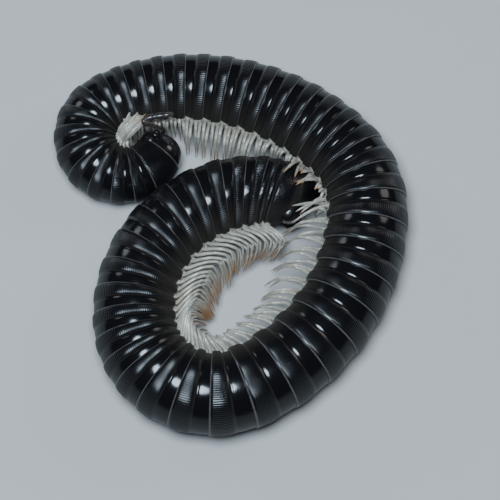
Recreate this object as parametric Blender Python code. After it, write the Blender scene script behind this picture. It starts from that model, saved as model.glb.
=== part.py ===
"""White-legged snake millipede at life size, resting curled on its right side.

The middle line of the body lies flat and winds clockwise from head to tail, seen from above.
The back faces the outside of the coil and the legs face its hole. Z up, with the origin on
the ground under the middle of the coil. Shapes are worked out in millimetres, where unions of
such small pieces stay exact, and each finished piece is brought to metres.
"""
import math

import bmesh
import bpy
from mathutils import Matrix, Vector
from numpy import interp

MM = 1.0
METRES_PER_MM = 0.001

# Middle line of the body, from the front edge of the collar plate towards the tail
LINE_START = (-2.90 * MM, 3.81 * MM)
LINE_HEADING = math.radians(-127.8)
LINE_BENDS = (  # radius, clockwise turn in degrees
    (2.98 * MM, 13.2),
    (1.51 * MM, 193.3),
    (7.10 * MM, 29.0),
    (9.10 * MM, 40.7),
    (3.86 * MM, 50.1),
    (8.40 * MM, 60.5),
    (3.13 * MM, 107.6),
    (5.00 * MM, 69.8),
    (5.10 * MM, 35.0),
    (4.00 * MM, 20.0),
)

# Body radius at stations along the middle line
GIRTHS = (  # station, radius
    (0.0 * MM, 0.98 * MM),
    (1.0 * MM, 1.12 * MM),
    (3.0 * MM, 1.30 * MM),
    (6.0 * MM, 1.38 * MM),
    (10.0 * MM, 1.50 * MM),
    (14.0 * MM, 1.62 * MM),
    (17.0 * MM, 1.65 * MM),
    (21.0 * MM, 1.70 * MM),
    (34.0 * MM, 1.70 * MM),
    (38.0 * MM, 1.63 * MM),
    (41.0 * MM, 1.60 * MM),
    (42.5 * MM, 1.52 * MM),
    (43.5 * MM, 1.36 * MM),
    (45.0 * MM, 1.00 * MM),
)
BODY_SIDES = 18
FLAT_FACTOR = math.cos(math.pi / BODY_SIDES)
LEVEL_ENDS = (1.0 * MM, 42.5 * MM)

# Rings: the collar plate is ring 1, and the tail piece follows the last one
RING_COUNT = 51
COLLUM_LENGTH = 0.88 * MM
RING_PITCHES = (  # ring, length that shows behind the ring in front
    (2, 0.56 * MM),
    (8, 0.56 * MM),
    (15, 0.86 * MM),
    (22, 0.81 * MM),
    (28, 1.14 * MM),
    (33, 1.43 * MM),
    (38, 0.62 * MM),
    (45, 1.02 * MM),
    (48, 0.79 * MM),
    (51, 0.45 * MM),
)
TRUNK_LENGTHS = ((2, 11), (12, 16), (17, 21), (22, 26), (27, 31), (32, 36), (37, 41), (42, 46), (47, 51))
NECK_SHARE = 0.93
FIRST_NECK_SHARE = 0.86
SHOULDER_PLACE = 0.35
MARGIN_STEP = 0.04 * MM
PART_GAP = 0.30 * MM
CURL_GAP = 0.50 * MM
NEXT_TO_FACE = 0.46 * MM

# Legs, measured in from the belly side of the body and up from its middle
LEG_SPACING = 0.80 * MM
LEG_REACH = 1.75 * MM
LEG_ROOT_DEPTH = 0.60
LEG_SWEEP = 0.32
LEG_RADII = (0.26 * MM, 0.25 * MM, 0.20 * MM, 0.09 * MM)
LEG_CLEARANCE = 0.30 * MM
SHORTEST_LEG = 0.45 * MM
UPPER_LEG = ((0.10, 0.22), (0.42, 0.34), (1.00, -0.30))
LOWER_LEG = ((0.08, -0.30), (0.38, -0.56), (0.86, -0.88))
FLOOR_CLEARANCE = 0.10 * MM

# Legs of the tight curl rise out of its hole as one bundle, in the head's frame
CURL_LEG_STATIONS = (2.5 * MM, 3.3 * MM, 4.1 * MM, 4.9 * MM)
CURL_LEG_MIDDLE = (-0.30 * MM, -1.73 * MM, 0.86 * MM)
CURL_LEG_TIP = (0.28 * MM, -1.80 * MM, 1.26 * MM)
CURL_LEG_SPREAD = 0.17 * MM

# Head, in a frame at the front edge of the collar plate: forward, towards the back, sideways
HEAD_SIZE = (0.92 * MM, 0.99 * MM, 0.93 * MM)
FACE_PLACE = (0.30 * MM, -0.48 * MM, 0.0)
FACE_SIZE = (0.44 * MM, 0.48 * MM, 0.62 * MM)
JAW_PLACE = (0.20 * MM, -0.55 * MM, 0.44 * MM)
JAW_SIZE = (0.40 * MM, 0.42 * MM, 0.36 * MM)
MOUTH_PLACE = (0.42 * MM, -1.02 * MM, 0.0)
MOUTH_LINE = (0.07 * MM, 0.34 * MM, 0.80 * MM)
EYE_PLACE = (0.50 * MM, 0.06 * MM, 0.70 * MM)
EYE_SIZE = (0.24 * MM, 0.30 * MM, 0.15 * MM)
EYE_GAP = 0.08 * MM
LEFT_ANTENNA_BASE = (  # forward, towards the back, sideways, radius
    (0.80 * MM, -0.30 * MM, 0.98 * MM, 0.15 * MM),
    (0.66 * MM, -0.52 * MM, 1.12 * MM, 0.18 * MM),
    (0.48 * MM, -0.80 * MM, 1.28 * MM, 0.19 * MM),
    (0.34 * MM, -1.00 * MM, 1.42 * MM, 0.19 * MM),
)
LEFT_ANTENNA_CLUB = (
    (0.34 * MM, -1.00 * MM, 1.42 * MM, 0.19 * MM),
    (0.66 * MM, -0.92 * MM, 1.50 * MM, 0.20 * MM),
    (0.98 * MM, -0.66 * MM, 1.52 * MM, 0.22 * MM),
    (1.22 * MM, -0.42 * MM, 1.52 * MM, 0.22 * MM),
    (1.36 * MM, -0.29 * MM, 1.52 * MM, 0.10 * MM),
)
RIGHT_ANTENNA = (
    (0.90 * MM, -0.62 * MM, -0.70 * MM, 0.16 * MM),
    (0.86 * MM, -0.78 * MM, -0.80 * MM, 0.18 * MM),
    (0.70 * MM, -1.00 * MM, -0.84 * MM, 0.19 * MM),
    (0.46 * MM, -1.14 * MM, -0.84 * MM, 0.20 * MM),
    (0.20 * MM, -1.20 * MM, -0.84 * MM, 0.22 * MM),
    (0.04 * MM, -1.20 * MM, -0.82 * MM, 0.23 * MM),
    (-0.02 * MM, -1.20 * MM, -0.82 * MM, 0.10 * MM),
)

# Tail piece
PROCESS_TIP = (0.92 * MM, 0.02 * MM)
VALVE_PLACE = (0.46 * MM, 0.32 * MM, 0.30 * MM)
VALVE_SIZE = (0.52 * MM, 0.78 * MM, 0.46 * MM)

BLACK = (0.012, 0.011, 0.012)
DARK_BROWN = (0.030, 0.020, 0.016)


def clear_scene():
    for item in list(bpy.data.objects):
        bpy.data.objects.remove(item, do_unlink=True)


def make_collection(name):
    collection = bpy.data.collections.new(name)
    bpy.context.scene.collection.children.link(collection)
    return collection


def make_material(name, colour, roughness):
    material = bpy.data.materials.new(name)
    material.use_nodes = True
    shader = material.node_tree.nodes["Principled BSDF"]
    shader.inputs["Base Color"].default_value = (*colour, 1.0)
    shader.inputs["Roughness"].default_value = roughness
    shader.inputs["Metallic"].default_value = 0.0
    return material


def girth(station):
    return float(interp(station, [row[0] for row in GIRTHS], [row[1] for row in GIRTHS]))


def line_height(station):
    """The rings rest on their lowest flat; the head and tail ends stay level with them."""
    first, last = LEVEL_ENDS
    return girth(min(max(station, first), last)) * FLAT_FACTOR


def line_frame(station):
    """Middle point at a station, with the directions to the tail, to the belly side and up."""
    x, y = LINE_START
    heading = LINE_HEADING
    left = station
    for radius, turn in LINE_BENDS:
        is_last = (radius, turn) == LINE_BENDS[-1]
        length = left if is_last else min(left, radius * math.radians(turn))
        centre_x = x + radius * math.sin(heading)
        centre_y = y - radius * math.cos(heading)
        heading -= length / radius
        x = centre_x - radius * math.sin(heading)
        y = centre_y + radius * math.cos(heading)
        left -= length
        if left <= 0:
            break
    centre = Vector((x, y, line_height(station)))
    to_tail = Vector((math.cos(heading), math.sin(heading), 0))
    to_belly = Vector((math.sin(heading), -math.cos(heading), 0))
    return centre, to_tail, to_belly, Vector((0, 0, 1))


def body_point(station, along, inward, up):
    centre, to_tail, to_belly, upright = line_frame(station)
    return centre + to_tail * along + to_belly * inward + upright * up


def ring_margins():
    """Station of each ring's rear edge, with the front edge of the collar plate as number 0."""
    rings = [row[0] for row in RING_PITCHES]
    pitches = [row[1] for row in RING_PITCHES]
    margins = [0.0, COLLUM_LENGTH]
    for ring in range(2, RING_COUNT + 1):
        margins.append(margins[-1] + float(interp(ring, rings, pitches)))
    return margins


def mesh_object(name, mesh, collection):
    item = bpy.data.objects.new(name, mesh)
    collection.objects.link(item)
    return item


def tube(name, points, radii, sides, collection):
    """A closed tube through the points, made a mesh and welded."""
    curve = bpy.data.curves.new(name, "CURVE")
    curve.dimensions = "3D"
    curve.twist_mode = "Z_UP"
    curve.bevel_depth = max(radii)
    curve.bevel_resolution = (sides - 4) // 2
    curve.use_fill_caps = True
    spline = curve.splines.new("POLY")
    spline.points.add(len(points) - 1)
    for target, point, radius in zip(spline.points, points, radii):
        target.co = (*point, 1.0)
        target.radius = radius / max(radii)
    guide = bpy.data.objects.new(name + "_curve", curve)
    collection.objects.link(guide)
    bpy.context.view_layer.update()
    depsgraph = bpy.context.evaluated_depsgraph_get()
    mesh = bpy.data.meshes.new_from_object(guide.evaluated_get(depsgraph))
    bpy.data.objects.remove(guide, do_unlink=True)
    shape = bmesh.new()
    shape.from_mesh(mesh)
    bmesh.ops.remove_doubles(shape, verts=shape.verts, dist=0.001 * MM)
    bmesh.ops.recalc_face_normals(shape, faces=shape.faces)
    shape.to_mesh(mesh)
    shape.free()
    return mesh_object(name, mesh, collection)


def loop_at(station, share, along=0.0):
    """Matrix of a body loop: square to the middle line, with a flat side down."""
    middle, to_tail, to_belly, upright = line_frame(station)
    centre = middle + to_tail * along
    radius = girth(station) * share
    frame = Matrix((to_belly, upright, to_tail)).transposed().to_4x4()
    turn = Matrix.Rotation(math.pi / BODY_SIDES, 4, "Z")
    return Matrix.Translation(centre) @ frame @ turn @ Matrix.Diagonal((radius, radius, 1.0, 1.0))


def body_tube(name, loops, collection):
    """A closed tube drawn out from loop to loop, with a flat face at each end."""
    shape = bmesh.new()
    bmesh.ops.create_circle(shape, cap_ends=True, segments=BODY_SIDES, radius=1.0)
    bmesh.ops.transform(shape, matrix=loops[0], verts=shape.verts)
    edges = list(shape.edges)
    for before, after in zip(loops, loops[1:]):
        drawn = bmesh.ops.extrude_edge_only(shape, edges=edges)["geom"]
        verts = [item for item in drawn if isinstance(item, bmesh.types.BMVert)]
        edges = [item for item in drawn if isinstance(item, bmesh.types.BMEdge)]
        bmesh.ops.transform(shape, matrix=after @ before.inverted(), verts=verts)
        rim = set(verts)
        edges = [edge for edge in edges if edge.verts[0] in rim and edge.verts[1] in rim]
    bmesh.ops.contextual_create(shape, geom=edges)
    bmesh.ops.recalc_face_normals(shape, faces=shape.faces)
    mesh = bpy.data.meshes.new(name)
    shape.to_mesh(mesh)
    shape.free()
    return mesh_object(name, mesh, collection)


def ellipsoid(name, centre, size, axes, collection, around=16, rows=10):
    """A ball stretched to the three half sizes along the three axes."""
    turn = Matrix((axes[0], axes[1], axes[2])).transposed().to_4x4()
    shape = bmesh.new()
    bmesh.ops.create_uvsphere(shape, u_segments=around, v_segments=rows, radius=1.0)
    bmesh.ops.transform(shape, matrix=Matrix.Diagonal((*size, 1.0)), verts=shape.verts)
    bmesh.ops.transform(shape, matrix=Matrix.Translation(centre) @ turn, verts=shape.verts)
    bmesh.ops.recalc_face_normals(shape, faces=shape.faces)
    mesh = bpy.data.meshes.new(name)
    shape.to_mesh(mesh)
    shape.free()
    return mesh_object(name, mesh, collection)


def block(name, centre, size, axes, collection):
    """A box of the given full sizes along the three axes."""
    turn = Matrix((axes[0], axes[1], axes[2])).transposed().to_4x4()
    shape = bmesh.new()
    bmesh.ops.create_cube(shape, size=1.0)
    bmesh.ops.transform(shape, matrix=Matrix.Diagonal((*size, 1.0)), verts=shape.verts)
    bmesh.ops.transform(shape, matrix=Matrix.Translation(centre) @ turn, verts=shape.verts)
    bmesh.ops.recalc_face_normals(shape, faces=shape.faces)
    mesh = bpy.data.meshes.new(name)
    shape.to_mesh(mesh)
    shape.free()
    return mesh_object(name, mesh, collection)


def combine(target, pieces, operation):
    """Join or cut the target with all the pieces at once, then remove the pieces."""
    if not pieces:
        return
    group = bpy.data.collections.new(target.name + "_pieces")
    for piece in pieces:
        group.objects.link(piece)
    modifier = target.modifiers.new("combine", "BOOLEAN")
    modifier.operand_type = "COLLECTION"
    modifier.operation = operation
    modifier.collection = group
    bpy.context.view_layer.update()
    depsgraph = bpy.context.evaluated_depsgraph_get()
    mesh = bpy.data.meshes.new_from_object(target.evaluated_get(depsgraph))
    target.modifiers.clear()
    target.data = mesh
    for piece in pieces:
        bpy.data.objects.remove(piece, do_unlink=True)
    bpy.data.collections.remove(group)


def keep_largest_surface(item):
    shape = bmesh.new()
    shape.from_mesh(item.data)
    waiting = set(shape.faces)
    islands = []
    while waiting:
        edge_of_island = [waiting.pop()]
        island = set(edge_of_island)
        while edge_of_island:
            face = edge_of_island.pop()
            for edge in face.edges:
                for other in edge.link_faces:
                    if other in waiting:
                        waiting.remove(other)
                        island.add(other)
                        edge_of_island.append(other)
        islands.append(island)
    largest = max(islands, key=lambda island: sum(face.calc_area() for face in island))
    loose = [face for face in shape.faces if face not in largest]
    bmesh.ops.delete(shape, geom=loose, context="FACES")
    for vert in shape.verts:
        if abs(vert.co.z) < 0.01 * MM:
            vert.co.z = 0.0
    bmesh.ops.triangulate(shape, faces=shape.faces)
    if shape.calc_volume(signed=True) < 0:
        bmesh.ops.reverse_faces(shape, faces=shape.faces)
    shape.to_mesh(item.data)
    shape.free()


def finish(item, material):
    keep_largest_surface(item)
    item.data.transform(Matrix.Scale(METRES_PER_MM, 4))
    item.data.materials.clear()
    item.data.materials.append(material)
    for polygon in item.data.polygons:
        polygon.material_index = 0
    item.data.shade_smooth()
    item.data.set_sharp_from_angle(angle=math.radians(35))


def make_collum(margins, collection, material):
    """Collar plate: a smooth band, rounded in at its front edge."""
    rear = margins[1] + PART_GAP / 2 - CURL_GAP / 2
    stations = (0.0, 0.10 * MM, 0.30 * MM, rear)
    shares = (0.88, 0.97, 1.0, 1.0)
    loops = [loop_at(station, share) for station, share in zip(stations, shares)]
    collum = body_tube("collum", loops, collection)
    finish(collum, material)


def ring_loops(margins, first, last):
    """Loops that step each ring up from under the one in front.

    The end faces stand square to the middle line of the gap next to them, so that the two
    faces of a gap are parallel.
    """
    front_gap = margins[first - 1] + PART_GAP / 2
    rear_gap = margins[last] + PART_GAP / 2
    if first == 2:
        neck = front_gap + CURL_GAP / 2
        loops = [loop_at(neck, FIRST_NECK_SHARE)]
        next_station = neck + MARGIN_STEP
    else:
        loops = [loop_at(front_gap, NECK_SHARE, PART_GAP / 2)]
        next_station = front_gap + NEXT_TO_FACE
    for ring in range(first, last + 1):
        front = margins[ring - 1]
        places = [
            (front + MARGIN_STEP, NECK_SHARE),
            (front + SHOULDER_PLACE * (margins[ring] - front), 1.0),
            (margins[ring], 1.0),
        ]
        for station, share in places:
            if next_station <= station <= rear_gap - NEXT_TO_FACE:
                loops.append(loop_at(station, share))
    loops.append(loop_at(rear_gap, 1.0, -PART_GAP / 2))
    return loops


def bend_radius(station):
    """Radius of the middle line's bend, averaged over a body width."""
    span = 1.5 * MM
    before = line_frame(max(station - span, 0.0))[1]
    after = line_frame(station + span)[1]
    turned = before.angle(after)
    return 2 * span / max(turned, 0.01)


def leg_points(station, shape, reach):
    """Root, knee, shank and tip of one leg; the shape gives reach and height shares."""
    radius = girth(station)
    points = [body_point(station, 0.0, LEG_ROOT_DEPTH * radius, shape[0][1] * radius * 0.6)]
    for out, height in shape:
        along = LEG_SWEEP * out * reach
        up = height * radius
        point = body_point(station, along, radius * 0.97 + out * reach, up)
        point.z = max(point.z, FLOOR_CLEARANCE + LEG_RADII[3])
        points.append(point)
    return points


def leg_is_clear(points, station, node, placed):
    """Whether a leg keeps its distance from far stretches of the body and other nodes' legs."""
    for start, end, radius in zip(points, points[1:], LEG_RADII[1:]):
        for share in (0.0, 0.5, 1.0):
            point = start.lerp(end, share)
            for step in range(0, 181):
                other = step * 0.25 * MM
                if abs(other - station) < 3.0 * MM:
                    continue
                wall = girth(other) + radius + LEG_CLEARANCE
                if (line_frame(other)[0] - point).length < wall:
                    return False
            for other_node, other_point, other_radius in placed:
                if other_node != node and (other_point - point).length < radius + other_radius + LEG_CLEARANCE:
                    return False
    return True


def grow_legs(node, stations, placed, collection):
    """Legs in pairs at the stations, each as long as the free space lets it be."""
    legs = []
    for number, station in enumerate(stations):
        room = bend_radius(station) - girth(station)
        longest = min(LEG_REACH, 0.75 * room)
        for side, shape in (("left", UPPER_LEG), ("right", LOWER_LEG)):
            reach = longest
            points = leg_points(station, shape, reach)
            while reach > SHORTEST_LEG and not leg_is_clear(points, station, node, placed):
                reach -= 0.10 * MM
                points = leg_points(station, shape, reach)
            if reach <= SHORTEST_LEG:
                continue
            for start, end, radius in zip(points[1:], points[2:], LEG_RADII[2:]):
                for share in (0.0, 0.5, 1.0):
                    placed.append((node, start.lerp(end, share), radius))
            name = f"{node}_leg_{side}_{number}"
            legs.append(tube(name, points, LEG_RADII, 6, collection))
    return legs


def grow_curl_legs(node, collection):
    """Legs squeezed out of the hole of the tight curl, all leaning the same way."""
    legs = []
    for number, station in enumerate(CURL_LEG_STATIONS):
        radius = girth(station)
        spread = (number - 1.5) * CURL_LEG_SPREAD
        points = [
            body_point(station, 0.0, 0.55 * radius, 0.40 * radius),
            body_point(station, 0.0, 0.92 * radius, 0.74 * radius),
            head_point(CURL_LEG_MIDDLE) + Vector((spread, 0.0, 0.0)),
            head_point(CURL_LEG_TIP) + Vector((spread, spread, 0.0)),
        ]
        legs.append(tube(f"{node}_leg_{number}", points, LEG_RADII, 6, collection))
    return legs


def leg_stations(margins, first, last):
    """Places of leg pairs, evenly spread along the belly side of a length."""
    start, end = margins[first - 1] + PART_GAP, margins[last]
    middle = (start + end) / 2
    belly = (end - start) * (1 - girth(middle) / bend_radius(middle))
    count = max(1, round(belly / LEG_SPACING))
    return [start + (end - start) * (number + 0.5) / count for number in range(count)]


def make_trunk(margins, collection, material):
    placed = []
    for number, (first, last) in enumerate(TRUNK_LENGTHS, start=1):
        name = f"trunk_{number:02d}"
        trunk = body_tube(name, ring_loops(margins, first, last), collection)
        if number == 1:
            legs = grow_curl_legs(name, collection)
        else:
            legs = grow_legs(name, leg_stations(margins, first, last), placed, collection)
        combine(trunk, legs, "UNION")
        finish(trunk, material)


def head_axes():
    """Forward, towards the back and sideways, at the front edge of the collar plate."""
    centre, to_tail, to_belly, upright = line_frame(0.0)
    return centre, (-to_tail, -to_belly, upright)


def head_point(place, mirror=1):
    centre, axes = head_axes()
    return centre + axes[0] * place[0] + axes[1] * place[1] + axes[2] * place[2] * mirror


def make_head(collection, material):
    centre, axes = head_axes()
    head = ellipsoid("head", centre, HEAD_SIZE, axes, collection, around=24, rows=14)
    lobes = [ellipsoid("face", head_point(FACE_PLACE), FACE_SIZE, axes, collection)]
    for mirror in (1, -1):
        lobes.append(ellipsoid("jaw", head_point(JAW_PLACE, mirror), JAW_SIZE, axes, collection))
    combine(head, lobes, "UNION")
    rear_depth = 4 * MM
    rear = block("rear", head_point((PART_GAP - rear_depth / 2, 0, 0)), (rear_depth,) * 3, axes, collection)
    mouth = block("mouth", head_point(MOUTH_PLACE), MOUTH_LINE, axes, collection)
    sockets = []
    for mirror in (1, -1):
        socket_size = [half + EYE_GAP for half in EYE_SIZE]
        sockets.append(ellipsoid("socket", head_point(EYE_PLACE, mirror), socket_size, axes, collection))
    combine(head, [rear, mouth] + sockets, "DIFFERENCE")
    finish(head, material)


def make_eyes(collection, material):
    axes = head_axes()[1]
    for name, mirror in (("eye_left", 1), ("eye_right", -1)):
        eye = ellipsoid(name, head_point(EYE_PLACE, mirror), EYE_SIZE, axes, collection, 12, 8)
        finish(eye, material)


def antenna_rod(name, rows, collection):
    points = [head_point(row[:3]) for row in rows]
    return tube(name, points, [row[3] for row in rows], 8, collection)


def make_antennae(collection, material):
    """The left antenna folds back on itself; the right one reaches forward under the mouth."""
    left = antenna_rod("antenna_left", LEFT_ANTENNA_BASE, collection)
    club = antenna_rod("club", LEFT_ANTENNA_CLUB, collection)
    elbow = LEFT_ANTENNA_CLUB[0]
    ball = ellipsoid("elbow", head_point(elbow[:3]), (1.12 * elbow[3],) * 3, head_axes()[1], collection)
    combine(left, [club, ball], "UNION")
    right = antenna_rod("antenna_right", RIGHT_ANTENNA, collection)
    for antenna in (left, right):
        finish(antenna, material)


def make_telson(margins, collection, material):
    """Tail piece: a tapering ring with a pointed process on its back and two anal valves."""
    gap = margins[RING_COUNT] + PART_GAP / 2
    middle, to_tail, to_belly, upright = line_frame(gap)
    radius = girth(gap)
    centre = middle + to_tail * PART_GAP / 2
    axes = (to_tail, to_belly, upright)
    lengths = (0.0, 0.12 * MM, 0.42 * MM, 0.74 * MM)
    shares = (0.90, 0.92, 0.74, 0.45)
    loops = [loop_at(gap, share, PART_GAP / 2 + along) for along, share in zip(lengths, shares)]
    telson = body_tube("telson", loops, collection)
    tip_along, tip_inward = PROCESS_TIP
    process_points = [
        centre + to_tail * 0.10 * MM - to_belly * 0.36 * radius,
        centre + to_tail * 0.50 * MM - to_belly * 0.24 * radius,
        centre + to_tail * tip_along + to_belly * tip_inward,
    ]
    process_radii = (0.46 * MM, 0.28 * MM, 0.07 * MM)
    pieces = [tube("process", process_points, process_radii, 10, collection)]
    for mirror in (1, -1):
        along, inward, side = VALVE_PLACE
        place = centre + to_tail * along + to_belly * inward + upright * side * mirror
        pieces.append(ellipsoid("valve", place, VALVE_SIZE, axes, collection, 14, 8))
    combine(telson, pieces, "UNION")
    finish(telson, material)


def main():
    clear_scene()
    collection = make_collection("snake_millipede")
    cuticle = make_material("black_cuticle", BLACK, 0.22)
    brown = make_material("brown_cuticle", DARK_BROWN, 0.35)
    ocelli = make_material("ocelli", BLACK, 0.10)
    margins = ring_margins()
    make_collum(margins, collection, cuticle)
    make_trunk(margins, collection, cuticle)
    make_telson(margins, collection, cuticle)
    make_head(collection, cuticle)
    make_eyes(collection, ocelli)
    make_antennae(collection, brown)


main()
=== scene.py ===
"""White-legged snake millipede curled on its right side, with its real skin, legs and bristles.

Each operator makes one piece, or one group of like pieces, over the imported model.
"""
import math

import bmesh
import bpy
import numpy
from mathutils import Matrix, Vector


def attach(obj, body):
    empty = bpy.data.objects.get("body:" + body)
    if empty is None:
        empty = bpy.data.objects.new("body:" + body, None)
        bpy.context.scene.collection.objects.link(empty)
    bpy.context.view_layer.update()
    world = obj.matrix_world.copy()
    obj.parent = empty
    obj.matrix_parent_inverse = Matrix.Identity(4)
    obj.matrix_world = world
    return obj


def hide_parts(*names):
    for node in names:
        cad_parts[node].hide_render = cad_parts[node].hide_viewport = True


bl_info = {
    "name": "Snake Millipede",
    "version": (1, 0, 0),
    "blender": (4, 5, 0),
    "location": "View3D > Sidebar > Millipede",
    "description": "Dresses a packed snake millipede with rings, legs, head and tail",
    "category": "Object",
}

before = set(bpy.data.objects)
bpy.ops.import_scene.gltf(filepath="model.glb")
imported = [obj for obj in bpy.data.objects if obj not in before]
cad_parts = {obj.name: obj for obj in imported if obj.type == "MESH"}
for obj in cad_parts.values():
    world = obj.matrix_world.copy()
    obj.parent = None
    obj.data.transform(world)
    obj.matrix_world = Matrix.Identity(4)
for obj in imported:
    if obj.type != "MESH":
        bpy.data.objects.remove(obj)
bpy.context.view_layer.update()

MM = 0.001
SHARP_ANGLE = math.radians(60)


def mm(*values):
    return tuple(value * MM for value in values)


def scaled(rows, *factors):
    """A table with each column multiplied by its own factor."""
    return tuple(tuple(value * factor for value, factor in zip(row, factors)) for row in rows)


# Middle line of the body, from the front edge of the collar plate towards the tail
LINE_START = mm(-2.90, 3.81)
LINE_HEADING = math.radians(-127.8)
LINE_BENDS = scaled((  # radius in mm, clockwise turn in degrees
    (2.98, 13.2), (1.51, 193.3), (7.10, 29.0), (9.10, 40.7), (3.86, 50.1),
    (8.40, 60.5), (3.13, 107.6), (5.00, 69.8), (5.10, 35.0), (4.00, 20.0),
), MM, 1)
GIRTHS = scaled((  # station and body radius, in mm
    (0.0, 0.98), (1.0, 1.12), (3.0, 1.30), (6.0, 1.38), (10.0, 1.50), (14.0, 1.62), (17.0, 1.65),
    (21.0, 1.70), (34.0, 1.70), (38.0, 1.63), (41.0, 1.60), (42.5, 1.52), (43.5, 1.36),
    (45.0, 1.00),
), MM, MM)
# The solids are tubes of 18 sides that lie on a flat one; the axis runs level between these ends
FLAT_FACTOR = math.cos(math.pi / 18)
LEVEL_ENDS = mm(1.0, 42.5)

# Rings: the collar plate is ring 1, and the tail piece follows the last one
RING_COUNT = 51
COLLUM_LENGTH = 0.88 * MM
RING_PITCHES = scaled((  # ring, length in mm that shows behind the ring in front
    (2, 0.56), (8, 0.56), (15, 0.86), (22, 0.81), (28, 1.14), (33, 1.43), (38, 0.62),
    (43, 0.97), (45, 1.02), (48, 0.83), (49, 0.70), (50, 0.38), (51, 0.304),
), 1, MM)
RING_TILTS = scaled((  # station in mm, how far a ring's back leans to the tail in radii
    (34.5, 0.0), (36.2, 0.060), (37.2, 0.098), (39.2, 0.120), (41.0, 0.150), (41.9, 0.200),
    (42.6, 0.225),
), MM, 1)
TRUNK_LENGTHS = (
    (2, 11), (12, 16), (17, 21), (22, 26), (27, 31), (32, 36), (37, 41), (42, 46), (47, 51),
)
RING_PROFILE = (  # share of the ring's length, depth below its highest part in lip heights
    (0.004, 1.00), (0.060, 0.93), (0.180, 0.84), (0.300, 0.80), (0.355, 0.84), (0.385, 1.02),
    (0.415, 0.84), (0.470, 0.46), (0.560, 0.16), (0.700, 0.02), (0.840, 0.00), (0.920, 0.08),
    (0.965, 0.20), (0.990, 0.34), (1.000, 0.52),
)
COLLAR_PROFILE = (  # share of the plate's length, of the body radius, and of the ring pattern
    (-0.10, 0.85, 0.42), (-0.12, 0.925, 0.96), (-0.115, 0.950, 0.985), (-0.08, 0.966, 0.975),
    (-0.04, 0.975, 0.92), (0.06, 0.985, 0.84), (0.25, 0.995, 0.62), (0.50, 1.0, 0.55),
    (0.70, 1.0, 0.66), (0.86, 1.0, 0.86), (0.94, 0.995, 0.93), (0.98, 0.985, 0.97),
    (1.0, 0.97, 0.99), (1.002, 0.90, 0.995),
)
FULL_GIRTH = 1.70 * MM
HIDDEN_FRONT = 0.10 * MM
FRONT_TUCK = 1.5  # lip heights
REAR_TUCK = 2.0
BELLY_STEP = 0.35  # how much deeper the steps are on the belly side

# Pattern of the rings: places count the rings, shares are of a ring or of a turn from the belly
BROWN_BELLY = (0.085, 0.20)
BROWN_WANDER = 0.07
BELLY_STRIP = (0.046, 0.053)
BELLY_SCALLOP = 0.036
BELLY_END_PLACES = (51.80, 51.95)
FRONT_SEAM = (0.405, 0.43, 0.44, 0.50)
GROOVED = (0.43, 0.50, 0.90, 0.95)
HIND_EDGE = (0.952, 0.972)
DULL_BACK = (0.34, 0.48)
DULL_TAIL_PLACES = (48.5, 51.5)
COARSE_TAIL_PLACES = (47.5, 51.5)
DEEP_GROOVE_PLACES = (44.0, 50.0)
SEAM_BROWN = (0.05, 0.04, 0.035)
BELLY_SKIN = (0.50, 0.465, 0.385)
BELLY_SHADE = (0.34, 0.31, 0.25)

# A leg's joints: share of its reach inward, share of its lean, heights of upper and lower leg
LEG_JOINTS = (
    (0.03, 0.00, 0.20, 0.05), (0.20, 0.32, 0.31, 0.17), (0.42, 0.72, 0.36, 0.22),
    (0.64, 1.02, 0.30, 0.14), (0.80, 0.90, 0.06, -0.10), (0.92, 0.62, -0.20, -0.36),
    (1.00, 0.34, -0.42, -0.58),
)
# Widths at the joints, and at the bends along a segment, as shares of the leg's thickness
LEG_GIRTHS = (1.30, 1.32, 1.24, 1.12, 1.00, 0.74, 0.48, 0.14)
LEG_BENDS = (0.0, 0.14, 0.50, 0.86)
LEG_SWELLS = (0.90, 0.96, 1.04, 1.08)
LEG_SIDES = 8
CLAW_POINT = 0.03
LEG_POSES = scaled((  # station, reach, lean to the tail, sag of the tip in radii, bundling
    (6.0, 0.70, 0.00, 0.30, 0.1), (8.0, 0.95, 0.00, 0.40, 0.1), (12.0, 1.15, 0.06, 0.50, 0.2),
    (14.6, 1.12, 0.10, 0.20, 0.4), (15.1, 1.00, 0.20, 0.00, 0.5), (15.4, 0.45, 0.10, 0.00, 0.5),
    (15.9, 0.45, 0.10, 0.00, 0.6), (16.2, 1.05, -0.05, 0.00, 0.7), (16.7, 0.85, 0.00, 0.00, 0.7),
    (17.0, 0.25, 0.10, 0.00, 0.5), (17.6, 0.20, 0.20, 0.00, 0.3), (17.9, 1.20, 0.50, -0.05, 0.6),
    (18.3, 1.42, 0.46, -0.10, 0.7), (19.5, 1.50, 0.30, 0.00, 0.9), (22.0, 1.50, 0.40, 0.15, 0.9),
    (24.0, 1.15, 0.80, 0.20, 0.7), (27.0, 0.98, 0.60, 0.10, 0.3), (28.8, 0.95, 0.30, 0.05, 0.1),
    (30.5, 1.15, 0.45, 0.00, 0.1), (32.5, 1.45, 0.80, 0.00, 0.1), (38.0, 1.50, 0.75, 0.00, 0.1),
    (41.0, 1.15, 0.66, 0.00, 0.1), (43.4, 0.98, 0.80, 0.00, 0.1),
), MM, MM, MM, 1, 1)
LEG_START = 0.84  # radii from the axis, inside the body
LEG_FOOT = 0.965  # radii from the axis, where the leg comes out
LEG_ROOT_RISE = 0.55
LOWER_LEG_GAIN = 1.06
BUNDLE_SPACING = 0.82 * MM
KNEES_FROM = mm(23.0, 29.0)
FIRST_LEG_RING = 2
FIRST_DOUBLE_RING = 5
LAST_LEG_RING = 50
SINGLE_PAIR = (0.40,)
DOUBLE_PAIR = (0.12, 0.62)
LOWER_LEG_SHIFT = 0.25
# A leg is shortened step by step until it is clear of other stretches of body and of a ball
# round the head
LEAST_REACH = 0.35
REACH_STEP = 0.04
OWN_STRETCH = 3.2 * MM
HEAD_GUARD_PLACE = mm(0.25, -0.15, 0.0)
HEAD_GUARD = 1.02 * MM

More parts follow.
